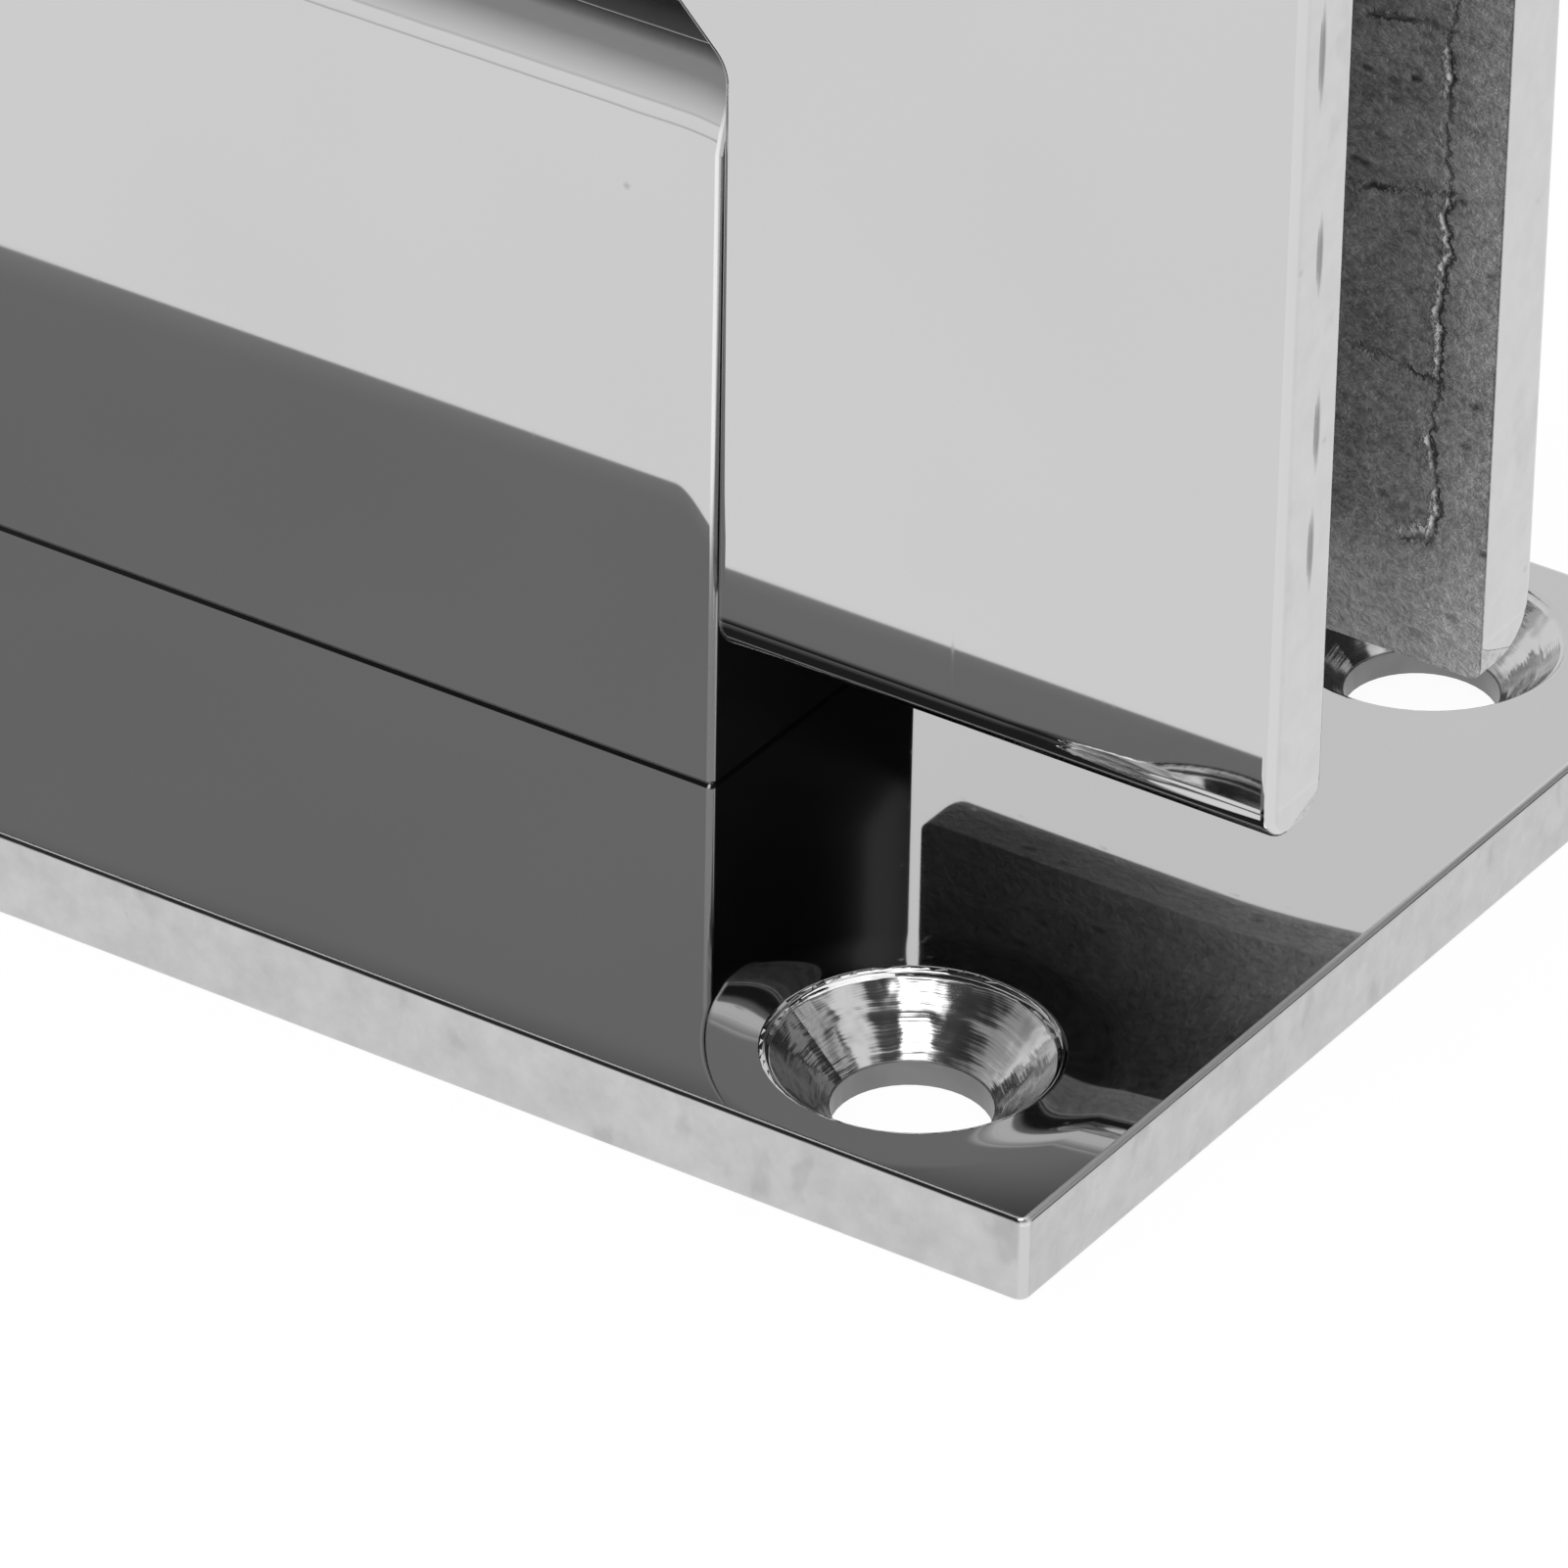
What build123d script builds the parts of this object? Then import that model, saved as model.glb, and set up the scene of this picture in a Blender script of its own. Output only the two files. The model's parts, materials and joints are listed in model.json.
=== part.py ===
from build123d import *
import math
import os

# Wall plate
plate_length = 90.0
plate_width = 50.0
plate_thickness = 3.5
plate_corner_radius = 0.5
plate_edge_radius = 0.25
mount_hole_diameter = 6.0
mount_head_diameter = 11.0
mount_hole_from_end = 9.5
mount_hole_from_side = 7.25
mount_rim_radius = 0.3
countersink_angle = 90.0

# Pivot block, with a half-round crown on the pin's axis, turned a little wider than the block is thick
block_length = 39.0
block_thickness = 14.0
pin_height = 25.3
crown_spare_radius = 0.15
block_end_radius = 0.3
block_foot_chamfer = 0.15

# Screws that hold the block from under the plate
block_screw_diameter = 5.0
block_screw_head_diameter = 9.6
block_screw_length = 14.0
block_screw_spacing = 29.0
block_screw_socket = 3.0
block_screw_socket_depth = 1.5

# Pivot pin, with four flats in the middle for the detents and a flat at each end for its lock screw
pin_diameter = 8.0
pin_end_setback = 0.4
pin_end_chamfer = 0.6
cam_length = 20.0
cam_flat_distance = 3.2
lock_flat_depth = 0.5
lock_flat_length = 6.0

# Bushes, pressed into the block's ends
bush_wall = 1.0
bush_length = 8.0
bush_chamfer = 0.2

# Detent plungers and their springs
plunger_diameter = 8.0
plunger_height = 10.0
plunger_spacing = 11.0
plunger_chamfer = 0.4
spigot_diameter = 4.4
spigot_height = 1.6
spring_diameter = 7.0
spring_wire = 1.0
spring_turns = 5

# Thrust washers between the block and the clamp
washer_diameter = 13.0
washer_thickness = 1.0

# Glass clamp
clamp_height = 55.0
clamp_bottom_gap = 7.3
clamp_plate_thickness = 3.6
glass_gap = 11.0
notch_side_above_pin = 6.4
notch_chamfer = 3.0
notch_corner_radius = 1.5
clamp_edge_radius = 0.5
front_foot_radius = 1.5
front_inner_foot_radius = 1.5
rear_foot_radius = 2.2

# Lugs of the front plate, which hold the pin's ends and take the clamp screws
lug_width = 10.0
lug_below_pin = 8.0
lug_above_screw = 5.5
lug_corner_radius = 2.5

# Clamp screws, from the back
clamp_screw_diameter = 6.0
clamp_screw_head_diameter = 11.2
clamp_screw_length = 13.0
clamp_screw_above_pin = 16.0
clamp_screw_socket = 4.0
clamp_screw_socket_depth = 2.2

# Grub screws that lock the pin in the lugs
lock_screw_diameter = 4.0
lock_screw_inset = 0.3
lock_screw_socket = 2.0
lock_screw_socket_depth = 1.6

# Glass gaskets
gasket_thickness = 1.0
gasket_above_lugs = 2.2
gasket_edge_margin = 1.0
gasket_corner_radius = 1.5

# Clearances, each on the radius or on one side
running_clearance = 0.05
press_clearance = 0.02
lug_bore_clearance = 0.03
pin_bore_clearance = 0.3
plunger_clearance = 0.1
washer_side_clearance = 0.15
washer_bore_clearance = 0.15
screw_hole_clearance = 0.25
thread_clearance = 0.05
contact_gap = 0.02
head_recess = 0.1
tapped_hole_spare = 1.0
screw_tip_chamfer = 0.5

# Levels and stations that follow from the sizes above
plate_top_z = plate_thickness
pin_z = plate_top_z + pin_height
pin_radius = pin_diameter / 2
block_end_x = block_length / 2
block_side_y = block_thickness / 2
block_crown_radius = block_side_y + crown_spare_radius
block_top_z = pin_z + block_crown_radius
crown_foot_z = pin_z + math.sqrt(block_crown_radius**2 - block_side_y**2)
bush_outer_radius = pin_radius + running_clearance + bush_wall
lug_inner_x = block_end_x + washer_thickness + 2 * washer_side_clearance
lug_outer_x = lug_inner_x + lug_width
lug_centre_x = lug_inner_x + lug_width / 2
clamp_end_x = plate_length / 2
clamp_bottom_z = plate_top_z + clamp_bottom_gap
clamp_top_z = clamp_bottom_z + clamp_height
front_inner_y = -glass_gap / 2
rear_inner_y = glass_gap / 2
rear_outer_y = rear_inner_y + clamp_plate_thickness
notch_side_top_z = pin_z + notch_side_above_pin
notch_top_z = notch_side_top_z + notch_chamfer
clamp_screw_z = pin_z + clamp_screw_above_pin
lug_bottom_z = pin_z - lug_below_pin
lug_top_z = clamp_screw_z + lug_above_screw
lock_flat_z = pin_z - pin_radius + lock_flat_depth
plunger_top_z = pin_z - pin_radius - running_clearance
plunger_bottom_z = plunger_top_z - plunger_height
gasket_bottom_z = lug_top_z + gasket_above_lugs
gasket_top_z = clamp_top_z - gasket_edge_margin
gasket_height = gasket_top_z - gasket_bottom_z
gasket_corner = min(gasket_corner_radius, gasket_height / 3)
countersink_slope = math.tan(math.radians(countersink_angle / 2))
side_signs = {"left": -1, "right": 1}

os.makedirs("parts", exist_ok=True)


def save(part, node):
    part.label = node
    export_step(part, f"parts/{node}.step")


# Radius of a countersink's mouth that lets the head sit just below the face
def mouth_radius(head_diameter):
    return head_diameter / 2 + head_recess * countersink_slope + contact_gap


# Plane through a screw's axis, its own Y axis pointing out of the head
def axial_plane(head_face):
    return Plane(origin=head_face.origin, x_dir=head_face.x_dir, z_dir=-head_face.y_dir)


# Countersunk screw with a hexagon socket, its flat face on the plane given and its shank behind it
def countersunk_screw(head_face, diameter, head_diameter, length, socket, socket_depth):
    head_height = (head_diameter - diameter) / 2 / countersink_slope
    with BuildPart() as screw:
        with BuildSketch(axial_plane(head_face)):
            with BuildLine():
                Polyline(
                    (0, 0),
                    (head_diameter / 2, 0),
                    (diameter / 2, -head_height),
                    (diameter / 2, screw_tip_chamfer - length),
                    (diameter / 2 - screw_tip_chamfer, -length),
                    (0, -length),
                    close=True,
                )
            make_face()
        revolve(axis=Axis(head_face.origin, head_face.z_dir))
        with BuildSketch(head_face):
            RegularPolygon(socket / 2, 6, major_radius=False)
        extrude(amount=-socket_depth, mode=Mode.SUBTRACT)
    return screw.part


# Outline of one clamp plate: a rectangle whose bottom is notched for the block, drawn as a half and mirrored
with BuildSketch() as clamp_profile:
    with BuildLine():
        Polyline(
            (0, notch_top_z),
            (lug_inner_x - notch_chamfer, notch_top_z),
            (lug_inner_x, notch_side_top_z),
            (lug_inner_x, clamp_bottom_z),
            (clamp_end_x, clamp_bottom_z),
            (clamp_end_x, clamp_top_z),
            (0, clamp_top_z),
        )
        mirror(about=Plane.YZ)
    make_face()
    fillet(clamp_profile.vertices().group_by(Axis.Y)[1:3], notch_corner_radius)

# Wall plate: four countersinks for wall screws on top, two for the block's screws underneath
with BuildPart() as wall_plate:
    with BuildSketch():
        Rectangle(plate_length, plate_width)
    extrude(amount=plate_thickness)
    fillet(wall_plate.edges().filter_by(Axis.Z), plate_corner_radius)
    fillet(wall_plate.faces().filter_by(Axis.Z).edges(), plate_edge_radius)
    with Locations(Plane.XY.offset(plate_top_z)):
        with GridLocations(
            plate_length - 2 * mount_hole_from_end, plate_width - 2 * mount_hole_from_side, 2, 2
        ):
            CounterSinkHole(
                mount_hole_diameter / 2, mount_head_diameter / 2, plate_thickness, countersink_angle
            )
    fillet(wall_plate.faces().sort_by(Axis.Z)[-1].inner_wires().edges(), mount_rim_radius)
    with Locations(Plane.XY.rotated((180, 0, 0))):
        with GridLocations(block_screw_spacing, 1, 2, 1):
            CounterSinkHole(
                block_screw_diameter / 2 + screw_hole_clearance,
                mouth_radius(block_screw_head_diameter),
                plate_thickness,
                countersink_angle,
            )
save(wall_plate.part, "wall_plate")

# Pivot block: upright faces, half-round crown, and bores for pin, bushes, plungers and screws
with BuildPart() as pivot_block:
    with BuildSketch(Plane.YZ):
        with BuildLine():
            Polyline(
                (-block_side_y, crown_foot_z),
                (-block_side_y, plate_top_z),
                (block_side_y, plate_top_z),
                (block_side_y, crown_foot_z),
            )
            ThreePointArc((block_side_y, crown_foot_z), (0, block_top_z), (-block_side_y, crown_foot_z))
        make_face()
    extrude(amount=block_length / 2, both=True)
    end_outline = pivot_block.faces().filter_by(Axis.X).edges()
    fillet(end_outline.group_by(Axis.Z)[1:], block_end_radius)
    chamfer(pivot_block.faces().sort_by(Axis.Z)[0].edges(), block_foot_chamfer)
    with BuildSketch(Plane.YZ):
        with Locations((0, pin_z)):
            Circle(pin_radius + pin_bore_clearance)
    extrude(amount=block_length / 2, both=True, mode=Mode.SUBTRACT)
    for sign in side_signs.values():
        with BuildSketch(Plane.YZ.offset(sign * block_end_x)):
            with Locations((0, pin_z)):
                Circle(bush_outer_radius + press_clearance)
        extrude(amount=-sign * bush_length, mode=Mode.SUBTRACT)
    with BuildSketch(Plane.XY.offset(plate_top_z)):
        with GridLocations(plunger_spacing, 1, 2, 1):
            Circle(plunger_diameter / 2 + plunger_clearance)
    extrude(amount=pin_height, mode=Mode.SUBTRACT)
    with BuildSketch(Plane.XY.offset(plate_top_z)):
        with GridLocations(block_screw_spacing, 1, 2, 1):
            Circle(block_screw_diameter / 2 + thread_clearance)
    extrude(
        amount=head_recess + block_screw_length - plate_thickness + tapped_hole_spare, mode=Mode.SUBTRACT
    )
save(pivot_block.part, "pivot_block")

# Pivot pin: round journals, a squared middle, chamfered ends, and a lock flat under each end
with BuildPart() as pivot_pin:
    with BuildSketch(Plane.YZ):
        with Locations((0, pin_z)):
            Circle(pin_radius)
    extrude(amount=lug_outer_x - pin_end_setback, both=True)
    chamfer(pivot_pin.faces().filter_by(Axis.X).edges(), pin_end_chamfer)
    with BuildSketch(Plane.YZ):
        with Locations((0, pin_z)):
            Circle(pin_diameter)
            Rectangle(2 * cam_flat_distance, 2 * cam_flat_distance, mode=Mode.SUBTRACT)
    extrude(amount=cam_length / 2, both=True, mode=Mode.SUBTRACT)
    with BuildSketch(Plane.XY.offset(lock_flat_z)):
        with GridLocations(2 * lug_centre_x, 1, 2, 1):
            Rectangle(lock_flat_length, pin_diameter)
    extrude(amount=-lock_flat_depth, mode=Mode.SUBTRACT)
save(pivot_pin.part, "pivot_pin")

# Bushes and thrust washers, one of each at both ends of the block
for side, sign in side_signs.items():
    with BuildPart() as bush:
        with BuildSketch(Plane.YZ.offset(sign * block_end_x)):
            with Locations((0, pin_z)):
                Circle(bush_outer_radius)
                Circle(pin_radius + running_clearance, mode=Mode.SUBTRACT)
        extrude(amount=-sign * bush_length)
        rims = bush.edges().filter_by(GeomType.CIRCLE).group_by(SortBy.RADIUS)[-1]
        chamfer(rims, bush_chamfer)
    save(bush.part, f"{side}_bush")

    with BuildPart() as thrust_washer:
        with BuildSketch(Plane.YZ.offset(sign * (block_end_x + washer_side_clearance))):
            with Locations((0, pin_z)):
                Circle(washer_diameter / 2)
                Circle(pin_radius + washer_bore_clearance, mode=Mode.SUBTRACT)
        extrude(amount=sign * washer_thickness)
    save(thrust_washer.part, f"{side}_thrust_washer")

# Detent plungers, drawn pressed down clear of the turning pin, and the coil springs under them
spring_radius = (spring_diameter - spring_wire) / 2
spring_bottom_z = plate_top_z + contact_gap + spring_wire / 2
spring_top_z = plunger_bottom_z - contact_gap - spring_wire / 2
for side, sign in side_signs.items():
    plunger_x = sign * plunger_spacing / 2
    with BuildPart() as plunger:
        with BuildSketch(Plane.XY.offset(plunger_bottom_z)):
            with Locations((plunger_x, 0)):
                Circle(plunger_diameter / 2)
        extrude(amount=plunger_height)
        chamfer(plunger.faces().sort_by(Axis.Z)[-1].edges(), plunger_chamfer)
        with BuildSketch(Plane.XY.offset(plunger_bottom_z)):
            with Locations((plunger_x, 0)):
                Circle(spigot_diameter / 2)
        extrude(amount=-spigot_height)
    save(plunger.part, f"{side}_detent_plunger")

    coil_height = spring_top_z - spring_bottom_z
    with BuildPart() as spring:
        with BuildLine(Plane.XY.offset(spring_bottom_z).move(Location((plunger_x, 0, 0)))) as coil:
            Helix(coil_height / spring_turns, coil_height, spring_radius)
        with BuildSketch(Plane(coil.line @ 0, z_dir=coil.line % 0)):
            Circle(spring_wire / 2)
        sweep(path=coil.line, is_frenet=True)
    save(spring.part, f"{side}_detent_spring")

# Front clamp plate: rounded outer edges and feet, and a lug on each side for the pin's end and a clamp screw
with BuildPart() as front_clamp_plate:
    with BuildSketch(Plane.XZ.offset(-front_inner_y)):
        add(clamp_profile.sketch)
    extrude(amount=clamp_plate_thickness)
    outer_face = front_clamp_plate.faces().sort_by(Axis.Y)[0]
    inner_face = front_clamp_plate.faces().sort_by(Axis.Y)[-1]
    fillet(outer_face.edges().group_by(Axis.Z)[0], front_foot_radius)
    fillet(inner_face.edges().group_by(Axis.Z)[0], front_inner_foot_radius)
    outer_face = front_clamp_plate.faces().sort_by(Axis.Y)[0]
    fillet(outer_face.edges().group_by(Axis.Z)[1:], clamp_edge_radius)
    with BuildSketch(Plane.XZ.offset(-front_inner_y)):
        with Locations((0, (lug_bottom_z + lug_top_z) / 2)):
            with GridLocations(2 * lug_centre_x, 1, 2, 1):
                RectangleRounded(lug_width, lug_top_z - lug_bottom_z, lug_corner_radius)
    extrude(amount=-glass_gap)
    with BuildSketch(Plane.YZ):
        with Locations((0, pin_z)):
            Circle(pin_radius + lug_bore_clearance)
    extrude(amount=lug_outer_x, both=True, mode=Mode.SUBTRACT)
    with BuildSketch(Plane.XZ.offset(-rear_inner_y)):
        with Locations((0, clamp_screw_z)):
            with GridLocations(2 * lug_centre_x, 1, 2, 1):
                Circle(clamp_screw_diameter / 2 + thread_clearance)
    extrude(
        amount=head_recess + clamp_screw_length - clamp_plate_thickness + tapped_hole_spare,
        mode=Mode.SUBTRACT,
    )
    with BuildSketch(Plane.XY.offset(lug_bottom_z)):
        with GridLocations(2 * lug_centre_x, 1, 2, 1):
            Circle(lock_screw_diameter / 2 + thread_clearance)
    extrude(amount=lug_below_pin, mode=Mode.SUBTRACT)
save(front_clamp_plate.part, "front_clamp_plate")

# Rear clamp plate: the same outline, rounded on its own outer side, with two countersinks for the clamp screws
with BuildPart() as rear_clamp_plate:
    with BuildSketch(Plane.XZ.offset(-rear_inner_y)):
        add(clamp_profile.sketch)
    extrude(amount=-clamp_plate_thickness)
    outer_face = rear_clamp_plate.faces().sort_by(Axis.Y)[-1]
    fillet(outer_face.edges().group_by(Axis.Z)[0], rear_foot_radius)
    outer_face = rear_clamp_plate.faces().sort_by(Axis.Y)[-1]
    fillet(outer_face.edges().group_by(Axis.Z)[1:], clamp_edge_radius)
    with Locations(Plane(origin=(0, rear_outer_y, 0), x_dir=(-1, 0, 0), z_dir=(0, 1, 0))):
        with Locations((0, clamp_screw_z)):
            with GridLocations(2 * lug_centre_x, 1, 2, 1):
                CounterSinkHole(
                    clamp_screw_diameter / 2 + screw_hole_clearance,
                    mouth_radius(clamp_screw_head_diameter),
                    clamp_plate_thickness,
                    countersink_angle,
                )
save(rear_clamp_plate.part, "rear_clamp_plate")

# Screws: the block's from below, the clamp's from the back, and the grub screws that lock the pin
for side, sign in side_signs.items():
    block_screw = countersunk_screw(
        Plane(origin=(sign * block_screw_spacing / 2, 0, head_recess), x_dir=(1, 0, 0), z_dir=(0, 0, -1)),
        block_screw_diameter,
        block_screw_head_diameter,
        block_screw_length,
        block_screw_socket,
        block_screw_socket_depth,
    )
    save(block_screw, f"{side}_block_screw")

    clamp_screw = countersunk_screw(
        Plane(
            origin=(sign * lug_centre_x, rear_outer_y - head_recess, clamp_screw_z),
            x_dir=(1, 0, 0),
            z_dir=(0, 1, 0),
        ),
        clamp_screw_diameter,
        clamp_screw_head_diameter,
        clamp_screw_length,
        clamp_screw_socket,
        clamp_screw_socket_depth,
    )
    save(clamp_screw, f"{side}_clamp_screw")

    lock_screw_bottom_z = lug_bottom_z + lock_screw_inset
    lock_screw_face = Plane(
        origin=(sign * lug_centre_x, 0, lock_screw_bottom_z), x_dir=(1, 0, 0), z_dir=(0, 0, -1)
    )
    with BuildPart() as pin_lock_screw:
        with BuildSketch(lock_screw_face):
            Circle(lock_screw_diameter / 2)
        extrude(amount=lock_screw_bottom_z - lock_flat_z + contact_gap)
        chamfer(pin_lock_screw.faces().filter_by(Axis.Z).edges(), screw_tip_chamfer)
        with BuildSketch(lock_screw_face):
            RegularPolygon(lock_screw_socket / 2, 6, major_radius=False)
        extrude(amount=-lock_screw_socket_depth, mode=Mode.SUBTRACT)
    save(pin_lock_screw.part, f"{side}_pin_lock_screw")

# Gaskets: soft strips on the inner faces, above the lugs
for node, face_y in {"front_gasket": front_inner_y, "rear_gasket": rear_inner_y}.items():
    with BuildPart() as gasket:
        with BuildSketch(Plane.XZ.offset(-face_y)):
            with Locations((0, (gasket_bottom_z + gasket_top_z) / 2)):
                RectangleRounded(plate_length - 2 * gasket_edge_margin, gasket_height, gasket_corner)
        extrude(amount=math.copysign(gasket_thickness, face_y))
    save(gasket.part, node)
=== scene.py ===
"""Looks of a glass door hinge: polished steel, raw cast inner faces, turned screws, bushes and gaskets."""
import json
import math

import bpy
from bpy.props import FloatProperty, FloatVectorProperty, PointerProperty
from mathutils import Matrix, Vector


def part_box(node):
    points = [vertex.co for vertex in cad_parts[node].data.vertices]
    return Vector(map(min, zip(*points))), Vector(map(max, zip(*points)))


bl_info = {
    "name": "Glass Door Hinge Looks",
    "version": (1, 0, 0),
    "blender": (4, 5, 0),
    "location": "View3D > Sidebar > Hinge",
    "description": "Finishes the pieces of a glass door hinge and sets them on a studio floor",
    "category": "Object",
}

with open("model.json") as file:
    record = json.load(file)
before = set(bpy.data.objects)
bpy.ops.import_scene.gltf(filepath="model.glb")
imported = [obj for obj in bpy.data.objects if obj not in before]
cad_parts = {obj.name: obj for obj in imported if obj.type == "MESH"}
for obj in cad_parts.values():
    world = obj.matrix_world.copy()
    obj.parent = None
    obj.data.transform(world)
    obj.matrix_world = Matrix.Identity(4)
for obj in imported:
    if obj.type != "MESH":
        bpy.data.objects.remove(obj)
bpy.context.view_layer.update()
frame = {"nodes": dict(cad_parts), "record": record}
MM = 0.001
SIDES = ("left", "right")
PLATE_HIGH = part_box("wall_plate")[1]
BLOCK_LOW, BLOCK_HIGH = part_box("pivot_block")
FRONT_LOW, FRONT_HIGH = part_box("front_clamp_plate")
REAR_LOW, REAR_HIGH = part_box("rear_clamp_plate")


def mount_dims(name):
    """The measured sizes of one of the hinge's mounts."""
    return next(mount["dims"] for mount in frame["record"]["mounts"] if mount["name"] == name)


SCREW_PATTERN = mount_dims("wall_screws")

# Sizes that the solids have and that the frame doesn't give
MOUTH_RADIUS = 5.5 * MM
FOOT_RADIUS = 1.5 * MM
NOTCH_SIDE_GAP = 0.5 * MM
NOTCH_TOP_GAP = 2.3 * MM
CROWN_DEPTH = 5.5 * MM

# How far polishing has tilted each surface at its edge, and the width over which the tilt grows
BLOCK_ROLL = math.radians(9)
BLOCK_ROLL_WIDTH = 1.9 * MM
PLATE_ROLL = math.radians(3)
PLATE_ROLL_WIDTH = 6 * MM
FOOT_ROLL = math.radians(12)
FOOT_ROLL_WIDTH = 0.5 * MM

# Width of the line along the plate's, the block's and the clamp's edges that is burnished rougher and
# lightened as a painted highlight
PLATE_EDGE = 0.3 * MM
BLOCK_EDGE = 0.32 * MM
CLAMP_EDGE = 0.35 * MM

# Polished faces, and the painted shade on the block's ends, at its foot next to them and in the clamps'
# notch
POLISH_ROUGHNESS = 0.02
BLOCK_END_SHADE = 0.05
DARK_END_ROUGHNESS = 0.3
NOTCH_SHADE = 0.1
NOTCH_ROUGHNESS = 0.35
CROWN_WAVES = 0.008 * MM

# Satin sides: their level as a share of the polish, and how much each kind of mark changes it
PLATE_END_SHARE = 0.86
PLATE_FRONT_SHARE = 0.9
CLAMP_END_MARKS = 0.55
MOTTLE_CONTRAST = 0.22
STAIN_DARKENING = 0.07
DOT_DARKENING = 0.18

# Countersinks: the dish that buffing leaves round the mouth, the turning marks, and the land under the
# cone, darkened with painted shade
DISH_WIDTH = 2.4 * MM
DISH_DEPTH = 0.055 * MM
RING_WOBBLE = 0.3 * MM
RING_RELIEF = 0.055 * MM
CONE_RELIEF = 0.12 * MM
CONE_GAIN = 0.08
BLOTCH_DARKENING = 0.2
LAND_SHADE = 0.13

# Cast inner faces: the bare skin, how much each kind of mark adds to its level or takes away, how much
# paler they turn towards the foot and the right edge, and the painted shade that darkens them towards the
# middle of the hinge's length
SKIN_LEVEL = 0.2
SKIN_METAL = 0.55
CAST_STAINS = 0.36
CAST_GRAIN = 0.6
CAST_SCORES = 0.12
CAST_PITS = 0.3
PALE_FOOT = 0.22
PALE_RIM = 0.12
FOOT_SPREAD = 1.8 * FOOT_RADIUS
PALE_RIM_START = 42 * MM
PALE_RIM_FULL = 44 * MM
SHADED_SHARE = 0.35
SHADE_START = 24 * MM
SHADE_END = 40 * MM

# Long dents on the front plate's right end face: place across it, lowest and highest point, in mm
END_STREAKS = (
    (-7.8, 40.3, 45.3),
    (-7.4, 32.7, 36.6),
    (-7.1, 25.4, 29.4),
    (-7.2, 20.6, 24.6),
)
STREAK_HALF_WIDTH = 0.26 * MM
STREAK_DEPTH = 0.05 * MM
STREAK_DARKENING = 0.55
STREAK_START = 44.6 * MM
STREAK_FULL = 44.9 * MM

# Hot tears on the rear plate's inner face: the long one's place across the plate, its lowest point and how
# far below the top it ends, and each branch's height in mm, start in mm, rise and size of burr
TEAR_X = 42.6 * MM
TEAR_FOOT = 15.8 * MM
TEAR_HEADROOM = 6 * MM
TEAR_BRANCHES = (
    (37.2, 38.6, 0.1, 0.2),
    (30.6, 38.4, 0.25, 0.0),
    (22.8, 38.4, -0.1, 0.0),
    (16.0, 40.9, 0.3, 1.7),
)
TEAR_DRIFT = 1.6 * MM
TEAR_TAPER = 0.6 * MM
GAP_WIDTH = 0.3 * MM
GAP_DEPTH = 0.12 * MM
BURR_WIDTH = 0.34 * MM
BURR_OFFSET = 0.2 * MM
BURR_HEIGHT = 0.14 * MM
# Painted highlight: how much lighter the burr beside a tear is made
BURR_HIGHLIGHT = 0.6

# Brightness of the tent in front of the hinge, from the horizon (0) up to straight above (1)
FRONT_SKY = (
    (0.0, 0.65), (0.015, 0.98), (0.13, 1.0), (0.15, 0.68), (0.17, 0.84), (0.3, 0.66),
    (0.43, 0.42), (0.465, 0.35), (0.58, 0.34), (0.63, 0.18), (0.7, 0.03),
)

# The tent behind the hinge, and the black card in it. Each pair gives the part of the direction at which a
# border starts, and the one at which it is complete
BACK_LEVEL = 0.85
BACK_BORDER = (-0.12, 0.05)
CARD_DARKENING = 0.83
CARD_SIDE = (-0.15, 0.1)
CARD_FRONT = (0.3, 0.45)
CARD_TOP = (0.75, 0.85)
FILL_STRENGTH = 0.6

# The floor: its size, how far it lies below the plate, and how brightly the camera and mirrors see it
FLOOR_SIZE = 6.0
FLOOR_DROP = 0.02 * MM
FLOOR_WHITE = (0.95, 0.95, 0.95, 1)
FLOOR_GLOW = 0.9
FLOOR_BRIGHTNESS = 1.04
MIRRORED_SHARE = 0.96


class Value:
    """One output of a node. Sums, products and the like of it add Math nodes."""

    def __init__(self, recipe, output):
        self.recipe = recipe
        self.output = output

    def math(self, operation, first, second=0.0):
        return self.recipe.node("ShaderNodeMath", {"operation": operation}, {0: first, 1: second})

    def __add__(self, other):
        return self.math("ADD", self, other)

    __radd__ = __add__

    def __mul__(self, other):
        return self.math("MULTIPLY", self, other)

    __rmul__ = __mul__

    def __sub__(self, other):
        return self.math("SUBTRACT", self, other)

    def __rsub__(self, other):
        return self.math("SUBTRACT", other, self)

    def __truediv__(self, other):
        return self.math("DIVIDE", self, other)

    def __pow__(self, other):
        return self.math("POWER", self, other)

    def __neg__(self):
        return self.math("MULTIPLY", self, -1.0)

    def __abs__(self):
        return self.math("ABSOLUTE", self)


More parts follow.
